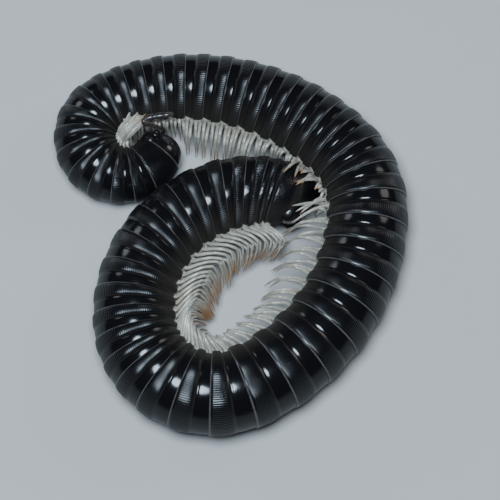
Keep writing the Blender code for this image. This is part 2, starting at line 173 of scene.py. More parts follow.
# Legs beside the tail lie over it, and the first of them show only their amber ends
LEGS_OVER_TAIL = mm(14.9, 18.7)
AMBER_BEFORE = 17.2 * MM
AMBER_TONES = (0.34, 0.94)
PALE_TONES = (0.0, 0.84)
TAIL_STATION = 40.0 * MM

LEG_STAIN = (0.26, 0.19, 0.11)
LEG_JOINT = (0.30, 0.27, 0.22)
# Painted shade: dark lines along each leg that make it read as two lit edges
PAINTED_LEG_SHADE = (0.17, 0.155, 0.125)
LEG_SEGMENTS = 7.0
# How many lines of painted shade run round a leg
LEG_SHADE_LINE_COUNT = 3.0
CLAW_SHARES = (0.60, 0.94)

# Head, in a frame at the front edge of the collar plate: forward, towards the back, sideways
HEAD_BALL = mm(0.84, 0.90, 0.89)
HEAD_SHIFT = 0.08 * MM
MIDDLE_FORMS = (  # place, half sizes, faces round and down
    ((HEAD_SHIFT, 0.0, 0.0), HEAD_BALL, (48, 32)),
    (mm(0.30, -0.48, 0.0), mm(0.44, 0.48, 0.62), (40, 28)),  # face
    (mm(0.42, -0.88, 0.0), mm(0.20, 0.16, 0.42), (32, 20)),  # lip
)
PAIRED_FORMS = (
    (mm(0.20, -0.55, 0.44), mm(0.40, 0.42, 0.36), (36, 24)),  # cheek
    (mm(0.56, -0.52, 0.68), mm(0.15, 0.15, 0.15), (20, 12)),  # socket of a feeler
)
SMOOTHING_STEPS = 6
HEAD_TONE = (0.006, 0.005, 0.006)  # shown where no pattern can be read
HEAD_BLACK = (0.0045, 0.004, 0.005)
HEAD_BROWN = (0.010, 0.007, 0.006)
EYE_PLACE = mm(0.50, 0.06, 0.70)
OCELLI_ROWS = (5, 7, 8, 8, 6, 4)
OCELLUS_PITCH = 1.86  # radii of a facet
OCELLI_ROW_PITCH = 0.88
OCELLUS_SINK = 0.35
LEFT_FEELER = scaled((
    (0.56, -0.26, 0.64), (0.76, -0.33, 0.88), (0.66, -0.52, 1.10), (0.50, -0.77, 1.27),
    (0.35, -0.99, 1.42), (0.52, -1.05, 1.48), (0.82, -0.82, 1.50), (1.12, -0.53, 1.52),
    (1.36, -0.29, 1.52),
), MM, MM, MM)
RIGHT_FEELER = scaled((
    (0.52, -0.48, -0.60), (0.78, -0.62, -0.72), (0.86, -0.78, -0.80), (0.78, -0.92, -0.84),
    (0.64, -1.04, -0.84), (0.46, -1.12, -0.84), (0.28, -1.18, -0.84), (0.10, -1.20, -0.84),
    (0.02, -1.20, -0.84),
), MM, MM, MM)
# Radii of the feelers in mm at those points, and how they pinch along each segment
FEELER_GIRTHS = (0.075, 0.085, 0.088, 0.092, 0.098, 0.108, 0.118, 0.112, 0.050)
FEELER_PINCHES = (0.80, 0.95, 1.02, 1.06, 1.05, 0.96)
FEELER_SIDES = 16
FIRST_HAIRY_LOOP = 8
HAIRS_ROUND = 7
HAIR_TURN = 0.8976  # radians from one hair of a loop to the next
HAIR_TWIST = 0.61  # radians from one loop to the next
CONES_ROUND = 4
CONE_TURN = 1.571

# Legs of the tight curl rise through its hole and lean over the head
CURL_HOLE = mm(-4.33, 4.50)
CURL_LEAN = (0.65, 0.76)
LAST_CURL_LEG = 5.9 * MM
CURL_SHEAF_WIDTH = 0.74 * MM
CURL_THINNING = 0.80
SHEAF_CORE = scaled((  # along the lean, height, half width and half thickness, in mm
    (0.00, 0.70, 0.16, 0.16), (0.00, 1.30, 0.24, 0.22), (0.02, 1.66, 0.30, 0.26),
    (0.14, 1.88, 0.36, 0.23), (0.34, 2.01, 0.40, 0.19), (0.56, 2.07, 0.42, 0.17),
    (0.76, 2.08, 0.42, 0.15), (0.92, 2.02, 0.38, 0.13), (1.05, 1.92, 0.28, 0.10),
    (1.12, 1.85, 0.12, 0.04),
), MM, MM, MM, MM)
CORE_STEPS = 5
CORE_SIDES = 72

# Tail piece beyond the last ring, and its two valves and their bristles
TAIL_LOOPS = scaled((  # along, towards the belly and radius, in mm
    (0.004, 0.00, 1.30), (0.060, 0.00, 1.29), (0.220, 0.00, 1.26), (0.400, -0.01, 1.21),
    (0.580, -0.02, 1.13), (0.760, -0.04, 1.02), (0.940, -0.06, 0.89), (1.090, -0.08, 0.75),
    (1.220, -0.09, 0.62), (1.340, -0.10, 0.49), (1.440, -0.105, 0.38), (1.530, -0.11, 0.28),
    (1.600, -0.11, 0.19), (1.655, -0.11, 0.10), (1.680, -0.11, 0.03),
), MM, MM, MM)
TAIL_ROOT = 1.22 * MM
TAIL_PLACES = (52.30, 0.30)  # where the pattern starts, and how much of a ring it takes
TAIL_MAP_ENDS = (52.25, 52.65)
VALVE_PLACE = mm(0.46, 0.46, 0.27)
VALVE_SIZE = mm(0.62, 0.80, 0.42)
BRISTLE_COUNT = 15
BRISTLE_LIFT = 0.34  # how far up the valve's flank they stand, from 0 to 1

# View of the photo, and the studio light
CAMERA_ELEVATION = math.radians(72)
CAMERA_DISTANCE = 150 * MM
CAMERA_TARGET = mm(0.79, 0.17, 0.0)
CAMERA_SENSOR = 36.0
CAMERA_LENS = 266.8
LIGHTS = (  # name, place and width in mm, power, colour
    ("key", (-8, -18, 120), 46, 0.25, (0.70, 0.85, 1.0)),
    ("fill", (95, 60, 70), 50, 0.022, (1.0, 0.97, 0.93)),
    ("rim", (-85, 75, 60), 40, 0.018, (0.86, 0.93, 1.0)),
)
SKY_COLOUR = (0.80, 0.86, 0.95)
SKY_STRENGTH = 0.04


def length_setting(name, description, default):
    return bpy.props.FloatProperty(
        name=name, description=description, default=default, unit="LENGTH"
    )


def colour_setting(name, description, default):
    return bpy.props.FloatVectorProperty(
        name=name, description=description, default=default, subtype="COLOR"
    )


class BodySettings(bpy.types.PropertyGroup):
    sides: bpy.props.IntProperty(
        name="Sides", description="Faces round each ring", default=96, min=24, max=256
    )
    lip_height: length_setting("Lip height", "Step down behind the widest rings", 0.070 * MM)
    stria_count: bpy.props.IntProperty(
        name="Striae", description="Fine lengthwise grooves round a ring", default=112
    )
    stria_depth: length_setting("Stria depth", "Depth of the lengthwise grooves", 0.0105 * MM)
    black: colour_setting("Black", "Colour of the back and flanks", (0.0045, 0.0042, 0.0050))
    brown: colour_setting("Brown", "Colour of the flanks near the belly", (0.015, 0.012, 0.010))
    margin: colour_setting("Hind edge", "Colour of each ring's hind edge", (0.080, 0.074, 0.070))


class LegSettings(bpy.types.PropertyGroup):
    reach: bpy.props.FloatProperty(
        name="Reach", description="Length in proportion to the legs of the photo", default=1.0
    )
    thickness: length_setting("Thickness", "Width of a leg near its root", 0.118 * MM)
    clearance: length_setting("Clearance", "Free space between a leg and the body", 0.03 * MM)
    pale: colour_setting("Pale", "Colour of the legs", (0.49, 0.455, 0.375))
    tip: colour_setting("Tip", "Colour of the claws", (0.30, 0.135, 0.045))


class HeadSettings(bpy.types.PropertyGroup):
    grain: length_setting("Grain", "Size of the faces that the head is smoothed from", 0.030 * MM)
    ocellus: length_setting("Ocellus", "Radius of one eye facet", 0.033 * MM)
    feeler_colour: colour_setting("Feeler", "Colour of the feelers", (0.017, 0.010, 0.011))


class StageSettings(bpy.types.PropertyGroup):
    floor_size: length_setting("Floor", "Width of the floor", 400 * MM)
    floor_colour: colour_setting("Floor colour", "Colour of the floor", (0.47, 0.458, 0.438))


def read_table(rows, value, column=1):
    """The value of a column where the first one has the given value, blended between rows."""
    return float(numpy.interp(value, [row[0] for row in rows], [row[column] for row in rows]))


def girth(station):
    return read_table(GIRTHS, station)


def line_frame(station):
    """Middle point at a station, with the directions to the tail, to the belly side and up."""
    x, y = LINE_START
    heading = LINE_HEADING
    left = station
    for radius, turn in LINE_BENDS:
        is_last = (radius, turn) == LINE_BENDS[-1]
        length = left if is_last else min(left, radius * math.radians(turn))
        centre_x = x + radius * math.sin(heading)
        centre_y = y - radius * math.cos(heading)
        heading -= length / radius
        x = centre_x - radius * math.sin(heading)
        y = centre_y + radius * math.cos(heading)
        left -= length
        if left <= 0:
            break
    first, last = LEVEL_ENDS
    height = girth(min(max(station, first), last)) * FLAT_FACTOR
    to_tail = Vector((math.cos(heading), math.sin(heading), 0))
    to_belly = Vector((math.sin(heading), -math.cos(heading), 0))
    return Vector((x, y, height)), to_tail, to_belly, Vector((0, 0, 1))


def body_point(station, along, inward, up):
    centre, to_tail, to_belly, upright = line_frame(station)
    return centre + to_tail * along + to_belly * inward + upright * up


def ring_margins():
    """Station of each ring's hind edge, with the collar plate's front edge as number 0."""
    margins = [0.0, COLLUM_LENGTH]
    for ring in range(2, RING_COUNT + 1):
        margins.append(margins[-1] + read_table(RING_PITCHES, ring))
    return margins


def loop_at(station, radius, along=0.0, inward=0.0):
    """Matrix of a body loop: X to the belly, Y up and Z to the tail."""
    middle, to_tail, to_belly, upright = line_frame(station)
    centre = middle + to_tail * along + to_belly * inward
    tilt = read_table(RING_TILTS, station)
    turned = Matrix((to_belly - to_tail * tilt, upright, to_tail)).transposed().to_4x4()
    return Matrix.Translation(centre) @ turned @ Matrix.Diagonal((radius, radius, 1.0, 1.0))


def head_axes():
    centre, to_tail, to_belly, upright = line_frame(0.0)
    return centre, (-to_tail, -to_belly, upright)


def head_point(place):
    centre, axes = head_axes()
    return centre + axes[0] * place[0] + axes[1] * place[1] + axes[2] * place[2]


def tail_frame():
    middle, to_tail, to_belly, upright = line_frame(ring_margins()[RING_COUNT])
    return middle, (to_tail, to_belly, upright)


def start_shape():
    """An empty bmesh with the values for the materials: turn round a tube, place along it."""
    shape = bmesh.new()
    shape.verts.layers.float.new("turn")
    shape.verts.layers.float.new("place")
    return shape


def draw_tube(shape, loops, places, sides):
    """A closed tube drawn out from one loop matrix to the next."""
    turn = shape.verts.layers.float["turn"]
    place = shape.verts.layers.float["place"]
    verts = bmesh.ops.create_circle(shape, cap_ends=True, segments=sides, radius=1.0)["verts"]
    for vert in verts:
        vert[turn] = (math.atan2(vert.co.y, vert.co.x) / (2 * math.pi)) % 1.0
        vert[place] = places[0]
    bmesh.ops.transform(shape, matrix=loops[0], verts=verts)
    for face in verts[0].link_faces:
        face.normal_flip()
    edges = list({edge for vert in verts for edge in vert.link_edges})
    for before, after, value in zip(loops, loops[1:], places[1:]):
        drawn = bmesh.ops.extrude_edge_only(shape, edges=edges)["geom"]
        verts = [item for item in drawn if isinstance(item, bmesh.types.BMVert)]
        rim = set(verts)
        edges = [item for item in drawn if isinstance(item, bmesh.types.BMEdge)]
        edges = [edge for edge in edges if rim.issuperset(edge.verts)]
        bmesh.ops.transform(shape, matrix=after @ before.inverted(), verts=verts)
        for vert in verts:
            vert[place] = value
    bmesh.ops.contextual_create(shape, geom=edges)


def path_loops(points, radii):
    """Loop matrices along a free path, each turned no more than the path turns."""
    loops = []
    tangent = (points[1] - points[0]).normalized()
    side = tangent.orthogonal().normalized()
    for number, (point, radius) in enumerate(zip(points, radii)):
        before = points[max(number - 1, 0)]
        after = points[min(number + 1, len(points) - 1)]
        heading = (after - before).normalized()
        side = tangent.rotation_difference(heading) @ side
        tangent = heading
        turned = Matrix((side, tangent.cross(side), tangent)).transposed().to_4x4()
        size = Matrix.Diagonal((radius, radius, 1.0, 1.0))
        loops.append(Matrix.Translation(point) @ turned @ size)
    return loops


def eased(points, steps):
    """Points of a smooth curve that passes through all the given ones."""
    ends = [points[0] * 2 - points[1]] + list(points) + [points[-1] * 2 - points[-2]]
    smooth = []
    for before, start, end, after in zip(ends, ends[1:], ends[2:], ends[3:]):
        for step in range(steps):
            share = step / steps
            bend = (2 * start) + (end - before) * share
            bend += (2 * before - 5 * start + 4 * end - after) * share ** 2
            bend += (3 * start - before - 3 * end + after) * share ** 3
            smooth.append(bend / 2)
    smooth.append(points[-1])
    return smooth


def add_ball(shape, centre, size, axes, around, rows):
    """A ball stretched to the three half sizes along the three axes."""
    turned = Matrix(axes).transposed().to_4x4()
    made = bmesh.ops.create_uvsphere(shape, u_segments=around, v_segments=rows, radius=1.0)
    matrix = Matrix.Translation(centre) @ turned @ Matrix.Diagonal((*size, 1.0))
    bmesh.ops.transform(shape, matrix=matrix, verts=made["verts"])


def add_bristle(shape, root, heading, length, radius):
    """A stiff hair, sunk a little into what it grows from and sagging at its tip."""
    sag = Vector((0, 0, -0.12 * length))
    points = [root + heading * share * length for share in (-0.2, 0.45, 1.0)]
    points[2] += sag
    loops = path_loops(points, (radius, radius * 0.7, radius * 0.12))
    draw_tube(shape, loops, (0.0, 0.5, 0.99), 4)


def lay_pattern_map(shape, name, first, last):
    """UV maps: one that the material reads, and one laid out flat for baking, caps on top."""
    turn = shape.verts.layers.float["turn"]
    place = shape.verts.layers.float["place"]
    pattern = shape.loops.layers.uv.new(name)
    baked = shape.loops.layers.uv.new("OFBake")
    for face in shape.faces:
        turns = [corner.vert[turn] for corner in face.loops]
        is_cap = len(face.verts) > 4
        wraps = max(turns) - min(turns) > 0.5 and not is_cap
        for corner in face.loops:
            across = corner.vert[turn]
            if wraps and across < 0.5:
                across += 1.0
            along = corner.vert[place]
            share = (along - first) / (last - first)
            corner[pattern].uv = (across, along)
            corner[baked].uv = (0.005 + 0.98 * across / 1.01, 0.005 + 0.94 * share)
            if is_cap:
                angle = 2 * math.pi * across
                spot = 0.2 if share < 0.5 else 0.4
                corner[baked].uv = (spot + 0.02 * math.cos(angle), 0.975 + 0.02 * math.sin(angle))


def add_object(name, data):
    item = bpy.data.objects.new(name, data)
    bpy.context.scene.collection.objects.link(item)
    return item


def mesh_of(name, shape):
    mesh = bpy.data.meshes.new(name)
    shape.to_mesh(mesh)
    shape.free()
    return mesh


def finish_piece(name, shape, material, node=None):
    """Turns the finished shape into a piece that rides on the body, no lower than the floor."""
    for vert in shape.verts:
        vert.co.z = max(vert.co.z, 0.0)
    bmesh.ops.recalc_face_normals(shape, faces=shape.faces)
    mesh = mesh_of(name, shape)
    mesh.materials.append(material)
    mesh.shade_smooth()
    mesh.set_sharp_from_angle(angle=SHARP_ANGLE)
    piece = add_object(name, mesh)
    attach(piece, "root")
    if node:
        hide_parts(node)


class Pattern:
    """A value that a material works out at each point: the output of one of its nodes."""

    def __init__(self, tree, socket):
        self.tree = tree
        self.socket = socket

    def calculate(self, operation, other=0.0):
        values = {0: self, 1: other}
        return add_node(self.tree, "ShaderNodeMath", 0, values, operation=operation)

    def __add__(self, other):
        return self.calculate("ADD", other)

    def __sub__(self, other):
        return self.calculate("SUBTRACT", other)

    def __mul__(self, other):
        return self.calculate("MULTIPLY", other)

    def fade(self, low, high, start=0.0, end=1.0):
        """Turns smoothly from start to end while this value goes from low to high."""
        values = {"Value": self, "From Min": low, "From Max": high, "To Min": start, "To Max": end}
        smooth = {"interpolation_type": "SMOOTHSTEP"}
        return add_node(self.tree, "ShaderNodeMapRange", "Result", values, **smooth)

    def band(self, rise, full, hold, fall):
        """One inside a band of this value and nothing outside it, with soft edges."""
        return self.fade(rise, full) * self.fade(hold, fall, 1.0, 0.0)

    def blend(self, first, second):
        """Blends from the first colour to the second as this value goes from nothing to one."""
        values = {"Factor": self, "A": first, "B": second}
        return add_node(self.tree, "ShaderNodeMix", "Result", values, data_type="RGBA")


def set_inputs(tree, node, inputs):
    """Gives each input its value: a number, a colour or a pattern."""
    for key, value in inputs.items():
        socket = node.inputs[key]
        if isinstance(value, Pattern):
            tree.links.new(value.socket, socket)
        elif socket.type == "RGBA":
            socket.default_value = (*value[:3], 1.0)
        else:
            socket.default_value = value


def add_node(tree, kind, output, inputs, **settings):
    """The pattern that a new node gives out, after its settings are made and its inputs fed."""
    node = tree.nodes.new(kind)
    for name, value in settings.items():
        setattr(node, name, value)
    set_inputs(tree, node, inputs)
    return Pattern(tree, node.outputs[output])


def noise(tree, scale, detail=3.0):
    """Soft blotches in the piece's own space; the scale counts them per metre."""
    place = add_node(tree, "ShaderNodeTexCoord", "Object", {})
    inputs = {"Scale": scale, "Detail": detail, "Vector": place}
    return add_node(tree, "ShaderNodeTexNoise", "Fac", inputs)


def read_map(tree, name):
    """The two values of a UV map: turn round the tube and place along it."""
    place = add_node(tree, "ShaderNodeUVMap", "UV", {}, uv_map=name)
    return [add_node(tree, "ShaderNodeSeparateXYZ", axis, {"Vector": place}) for axis in "XY"]


def new_material(name, colour, roughness, specular=0.5, coat=0.0, coat_roughness=0.1):
    """A material with its shader, and the tree that patterns are added to."""
    material = bpy.data.materials.new(name)
    material.use_nodes = True
    tree = material.node_tree
    shader = tree.nodes["Principled BSDF"]
    set_inputs(tree, shader, {
        "Base Color": colour,
        "Roughness": roughness,
        "Specular IOR Level": specular,
        "Coat Weight": coat,
        "Coat Roughness": coat_roughness,
    })
    return material, tree, shader


def finish_shader(tree, shader, colour, rough, height, depth):
    """Leads the finished patterns into the shader; the height is a bump of the given depth."""
    normal = add_node(tree, "ShaderNodeBump", "Normal", {"Distance": depth, "Height": height})
    normals = {"Normal": normal, "Coat Normal": normal}
    set_inputs(tree, shader, {"Base Color": colour, "Roughness": rough, **normals})


def ring_material(settings):
    """Glossy black cuticle: smooth front half, grooved hind half, brown belly, pale hind edge."""
    found = bpy.data.materials.get("ring_cuticle")
    if found:
        return found
    material, tree, shader = new_material("ring_cuticle", settings.black, 0.2, 0.33)
    turn, place = read_map(tree, "ring_map")
    share = place.calculate("FRACT")
    from_belly = ((turn + 0.5).calculate("FRACT") - 0.5).calculate("ABSOLUTE")
    blotches = noise(tree, 900.0)
    specks = noise(tree, 9000.0, 4.0)

    near_belly = (from_belly + (blotches - 0.5) * BROWN_WANDER).fade(*BROWN_BELLY, 1.0, 0.0)
    scallop = share.calculate("PINGPONG", 0.5) * BELLY_SCALLOP
    at_belly = (from_belly + scallop).fade(*BELLY_STRIP, 1.0, 0.0)
    at_belly = at_belly * place.fade(*BELLY_END_PLACES, 1.0, 0.0)
    edge = share.fade(*HIND_EDGE) * specks.fade(0.30, 0.55, 0.55, 1.0)
    colour = near_belly.blend(settings.black, settings.brown)
    colour = (share.band(*FRONT_SEAM) * 0.25).blend(colour, SEAM_BROWN)
    colour = edge.blend(colour, settings.margin)
    colour = at_belly.blend(colour, specks.fade(0.35, 0.65).blend(BELLY_SKIN, BELLY_SHADE))

    grooved = share.band(*GROOVED)
    rough = grooved * 0.06 + blotches * 0.12 + near_belly * 0.30
    rough = rough + from_belly.fade(*DULL_BACK, 0.0, 0.28)
    rough = rough + place.fade(*DULL_TAIL_PLACES, 0.09, 0.19)
    waves = (turn * (2 * math.pi * settings.stria_count)).calculate("SINE") * 0.5 + 0.5
    deeper = place.fade(*DEEP_GROOVE_PLACES, 1.0, 2.4)
    coarser = place.fade(*COARSE_TAIL_PLACES, 0.16, 2.0)
    height = waves.calculate("POWER", 0.6) * grooved * deeper + specks * coarser + blotches * 0.55
    finish_shader(tree, shader, colour, rough, height, settings.stria_depth)
    return material


def head_material():
    found = bpy.data.materials.get("head_cuticle")
    if found:
        return found
    material, tree, shader = new_material("head_cuticle", HEAD_TONE, 0.2, 0.5, 0.2, 0.06)
    blotches = noise(tree, 1600.0)
    height = blotches + noise(tree, 14000.0, 4.0) * 0.30
    colour = blotches.fade(0.35, 0.75).blend(HEAD_BLACK, HEAD_BROWN)
    finish_shader(tree, shader, colour, blotches * 0.18 + 0.10, height, 0.012 * MM)
    return material


def leg_material(settings):
    """Pale wet cuticle with stains, painted shade lines along it, darker at the joints, with brown
    claws.
    """
    material, tree, shader = new_material("leg_cuticle", settings.pale, 0.3, 0.5, 0.4, 0.15)
    set_inputs(tree, shader, {
        "Subsurface Weight": 0.25,
        "Subsurface Radius": (0.5, 0.4, 0.3),
        "Subsurface Scale": 0.25 * MM,
    })
    turn, place = read_map(tree, "leg_map")
    share = place.calculate("FRACT")
    blotches = noise(tree, 2600.0)
    stains = noise(tree, 700.0).fade(0.52, 0.78, 0.0, 0.55)
    joints = (share * LEG_SEGMENTS).calculate("PINGPONG", 0.5).fade(0.0, 0.16, 1.0, 0.0)
    # Painted shade: dark lines along the leg that make it read as two lit edges
    painted_shade_lines = (turn * LEG_SHADE_LINE_COUNT).calculate("PINGPONG", 0.5).fade(0.0, 0.17, 0.6, 0.0)
    dull = tuple(value * 0.62 for value in settings.pale)
    colour = blotches.fade(0.35, 0.70).blend(settings.pale, dull)
    colour = stains.blend(colour, LEG_STAIN)
    colour = (joints * 0.55).blend(colour, LEG_JOINT)
    colour = painted_shade_lines.blend(colour, PAINTED_LEG_SHADE)
    colour = share.fade(*CLAW_SHARES).blend(colour, settings.tip)
    finish_shader(tree, shader, colour, blotches * 0.25 + 0.20, blotches, 0.010 * MM)
    return material


def plain_material(name, colour, roughness, grain_scale, grain_depth, coat=0.2):
    """A cuticle with a fine grain and slightly mottled colour."""
    material, tree, shader = new_material(name, colour, roughness, 0.5, coat, 0.08)
    blotches = noise(tree, grain_scale)
    mixed = blotches.fade(0.35, 0.70).blend(colour, tuple(value * 0.5 for value in colour))
    rough = blotches * 0.2 + max(roughness - 0.1, 0.03)
    finish_shader(tree, shader, mixed, rough, blotches, grain_depth)
    return material


def ring_loops(margins, first, last, lip_height):
    """Loop matrices and pattern places of a stretch of rings, tucked under the ring in front."""
    front, rear = margins[first - 1], margins[last]
    scale = girth(front) / FULL_GIRTH
    loops = [loop_at(front - HIDDEN_FRONT, girth(front) - FRONT_TUCK * lip_height * scale)]
    places = [first + 0.0]
    for ring in range(first, last + 1):
        start, end = margins[ring - 1], margins[ring]
        for share, depth in RING_PROFILE:
            station = start + share * (end - start)
            step = lip_height * girth(station) / FULL_GIRTH
            below = BELLY_STEP * depth * step
            loops.append(loop_at(station, girth(station) - depth * step - below, 0.0, -below))
            places.append(ring + min(share, 0.999))
    loops.append(loop_at(rear + 0.001 * MM, girth(rear) - REAR_TUCK * lip_height))
    places.append(last + 0.9995)
    return loops, places


def make_ringed_piece(name, node, loops, places, ends, settings):
    """A piece of ringed cuticle drawn through the loops."""
    shape = start_shape()
    draw_tube(shape, loops, places, settings.sides)
    lay_pattern_map(shape, "ring_map", *ends)
    finish_piece(name, shape, ring_material(settings), node)


class MILLIPEDE_OT_rings(bpy.types.Operator):
    """Make the ringed trunk, in lengths that tuck into each other"""

    bl_idname = "millipede.rings"
    bl_label = "Rings"

    def execute(self, context):
        settings = context.scene.millipede_body
        margins = ring_margins()
        for number, (first, last) in enumerate(TRUNK_LENGTHS, start=1):
            names = (f"rings_{number:02d}", f"trunk_{number:02d}")
            tube = ring_loops(margins, first, last, settings.lip_height)
            make_ringed_piece(*names, *tube, (first, last + 1), settings)
        return {"FINISHED"}


class MILLIPEDE_OT_collar(bpy.types.Operator):
    """Make the collar plate behind the head"""

    bl_idname = "millipede.collar"
    bl_label = "Collar plate"

    def execute(self, context):
        settings = context.scene.millipede_body
        loops = []
        places = []
        for share, size, value in COLLAR_PROFILE:
            station = max(share * COLLUM_LENGTH, 0.0)
            ahead = min(share * COLLUM_LENGTH, 0.0)
            loops.append(loop_at(station, girth(station) * size, ahead))
            places.append(1 + value)
        make_ringed_piece("collar_plate", "collum", loops, places, (1, 2), settings)
        return {"FINISHED"}


def body_walls():
    """Middle points and radii of the body, close together, to keep legs clear of it."""
    last = ring_margins()[RING_COUNT]
    stations = numpy.arange(0.0, last + TAIL_LOOPS[-1][0], 0.1 * MM)
    middle, axes = tail_frame()
    points = []
    radii = []
    for station in stations:
        along = station - last
        if along > 0:
            points.append(middle + axes[0] * along + axes[1] * read_table(TAIL_LOOPS, along))
            radii.append(read_table(TAIL_LOOPS, along, 2))
        else:
            points.append(line_frame(station)[0])
            radii.append(girth(station))
    return stations, numpy.array(points), numpy.array(radii)


def laid_over(point, walls, gap):
    """The point, raised where needed so that it lies on the last rings and the tail piece."""
    stations, centres, radii = walls
    in_tail = stations > TAIL_STATION
    top = point.z
    for centre, radius in zip(centres[in_tail], radii[in_tail] + gap):
        flat = math.hypot(point.x - centre[0], point.y - centre[1])
        if flat < radius:
            top = max(top, float(centre[2]) + math.sqrt(radius ** 2 - flat ** 2))
    return Vector((point.x, point.y, top))


def free_space(points, station, walls):
    """Least distance from the points to the head and to body beyond the leg's own stretch."""
    stations, centres, radii = walls
    far = numpy.abs(stations - station) > OWN_STRETCH
    spots = numpy.array(points)
    away = spots[:, None, :] - centres[far][None, :, :]
    space = float((numpy.linalg.norm(away, axis=2) - radii[far][None, :]).min())
    head = numpy.linalg.norm(spots - numpy.array(head_point(HEAD_GUARD_PLACE)), axis=1)
    return min(space, float(head.min()) - HEAD_GUARD)


def leg_points(station, is_upper, scale, number):
    """Joints of one leg in the pose that the legs have at that station."""
    pose = [read_table(LEG_POSES, station, column) for column in range(1, 5)]
    reach, lean, sag, bundling = pose
    wave = math.sin(number * 2.4) * 0.6 + math.sin(number * 0.7 + 1.0) * 0.4
    reach *= scale * (1 + 0.06 * wave) * (1.0 if is_upper else LOWER_LEG_GAIN)
    lean = lean * scale + 0.05 * MM * wave
    pull = (round(station / BUNDLE_SPACING) * BUNDLE_SPACING - station) * bundling
    radius = girth(station)
    root = LEG_JOINTS[0][2 if is_upper else 3] * radius * LEG_ROOT_RISE
    points = [body_point(station, 0.0, LEG_START * radius, root)]
    knee = float(numpy.interp(station, KNEES_FROM, (0.0, 1.0)))
    for inward, along, above, below in LEG_JOINTS:
        along = along * knee + inward * (1.0 - knee)
        height = above - sag * inward ** 2 if is_upper else below
        out = radius * LEG_FOOT + inward * reach
        point = body_point(station, lean * along + pull * inward, out, height * radius)
        point.z = max(point.z, 0.05 * MM)
        points.append(point)
    return points


def draw_leg(shape, points, thickness, number, tones=(0.0, 1.0)):
    """A jointed leg: straight segments that swell towards their far ends, bent at the joints."""
    joints = len(points) - 1
    route = []
    radii = []
    places = []
    for index in range(joints):
        for bend, swell in zip(LEG_BENDS, LEG_SWELLS):
            if bend > 0.0 or index == 0:
                route.append(points[index].lerp(points[index + 1], bend))
                size = float(numpy.interp(index + bend, range(len(LEG_GIRTHS)), LEG_GIRTHS))
                radii.append(thickness / 2 * size * swell)
                places.append(index + bend)
    route.append(points[-1])
    radii.append(thickness * CLAW_POINT)
    places.append(joints)
    first, last = tones
    shares = [number + 0.98 * (first + (last - first) * place / joints) for place in places]
    draw_tube(shape, path_loops(route, radii), shares, LEG_SIDES)


def leg_stations(margins, first, last):
    """Roots of the upper and lower leg of each pair: two pairs to a ring, one in front."""
    stations = []
    for ring in range(max(first, FIRST_LEG_RING), min(last, LAST_LEG_RING) + 1):
        front, rear = margins[ring - 1], margins[ring]
        for share in SINGLE_PAIR if ring < FIRST_DOUBLE_RING else DOUBLE_PAIR:
            stations.append((front + share * (rear - front), True))
            stations.append((front + (share + LOWER_LEG_SHIFT) * (rear - front), False))
    return stations


def draw_free_leg(shape, root, count, walls, settings):
    """A leg in the pose of its station: laid over the tail, or shortened until it is clear."""
    station, is_upper = root
    scale = settings.reach
    points = leg_points(station, is_upper, scale, count)
    least = settings.clearance + settings.thickness * 0.4
    tones = (0.0, 1.0)
    if LEGS_OVER_TAIL[0] < station < LEGS_OVER_TAIL[1]:
        gap = least * (1.3 if is_upper else 1.0)
        points[2:] = [laid_over(point, walls, gap) for point in points[2:]]
        tones = AMBER_TONES if station < AMBER_BEFORE else PALE_TONES
    else:
        while scale > LEAST_REACH and free_space(points[2:], station, walls) < least:
            scale -= REACH_STEP
            points = leg_points(station, is_upper, scale, count)
    draw_leg(shape, points, settings.thickness, count, tones)


class MILLIPEDE_OT_legs(bpy.types.Operator):
    """Make the fringe of pale legs along the belly, two pairs to a ring"""

    bl_idname = "millipede.legs"
    bl_label = "Legs"

    def execute(self, context):
        settings = context.scene.millipede_legs
        material = leg_material(settings)
        margins = ring_margins()
        walls = body_walls()
        for number, (first, last) in enumerate(TRUNK_LENGTHS, start=1):
            shape = start_shape()
            count = draw_curl_legs(shape, margins, settings) if number == 1 else 0
            for root in leg_stations(margins, first, last):
                if root[0] >= LAST_CURL_LEG:
                    draw_free_leg(shape, root, count, walls, settings)
                    count += 1
            lay_pattern_map(shape, "leg_map", 0, count)
            finish_piece(f"legs_{number:02d}", shape, material)
        return {"FINISHED"}


def draw_curl_legs(shape, margins, settings):
    """Legs of the tight curl: up through its hole, then over towards the head in one sheaf."""
    hole = Vector((*CURL_HOLE, 0.0))
    lean = Vector((*CURL_LEAN, 0.0)).normalized()
    across = Vector((-lean.y, lean.x, 0.0))
    curl_rings = TRUNK_LENGTHS[0]
    roots = [root for root in leg_stations(margins, *curl_rings) if root[0] < LAST_CURL_LEG]
    for count, (station, is_upper) in enumerate(roots):
        radius = girth(station)
        share = count / (len(roots) - 1)
        wave = math.sin(count * 2.4)
        other = math.sin(count * 1.3 + 0.7)
        spread = (share - 0.5) * CURL_SHEAF_WIDTH
        rise = (1.66 + 0.14 * wave + (0.16 if is_upper else -0.06)) * MM
        far = (1.0 + 0.14 * other) * MM
        low, high = (0.20, 0.36) if is_upper else (0.06, 0.22)
        points = [
            body_point(station, 0.0, LEG_START * radius, low * radius),
            body_point(station, 0.0, 0.99 * radius, high * radius),
        ]
        rows = (  # along the lean, share of the spread, height above the rise
            (0.04 * MM, 0.50, -0.30 * MM),
            (0.14 * MM, 0.60, 0.02 * MM),
            (0.46 * far, 0.84, 0.30 * MM),
            (0.76 * far, 1.0, 0.34 * MM),
            (0.98 * far, 1.08 + 0.1 * other, 0.20 * MM),
            (1.10 * far, 1.10 + 0.1 * wave, 0.02 * MM),
        )
        for step, (along, width, height) in enumerate(rows):
            ripple = math.sin(count * 1.9 + step * 2.2) * 0.035 * MM
            point = hole + lean * (along + ripple) + across * (spread * width + 0.6 * ripple)
            points.append(point + Vector((0, 0, rise + 0.05 * MM + height + 0.8 * ripple)))
        tones = (0.0, 0.9) if share > 0.3 else (0.36, 0.94)
        draw_leg(shape, points, settings.thickness * CURL_THINNING, count, tones)
    draw_sheaf_core(shape, hole, lean, across, len(roots))
    return len(roots) + 1


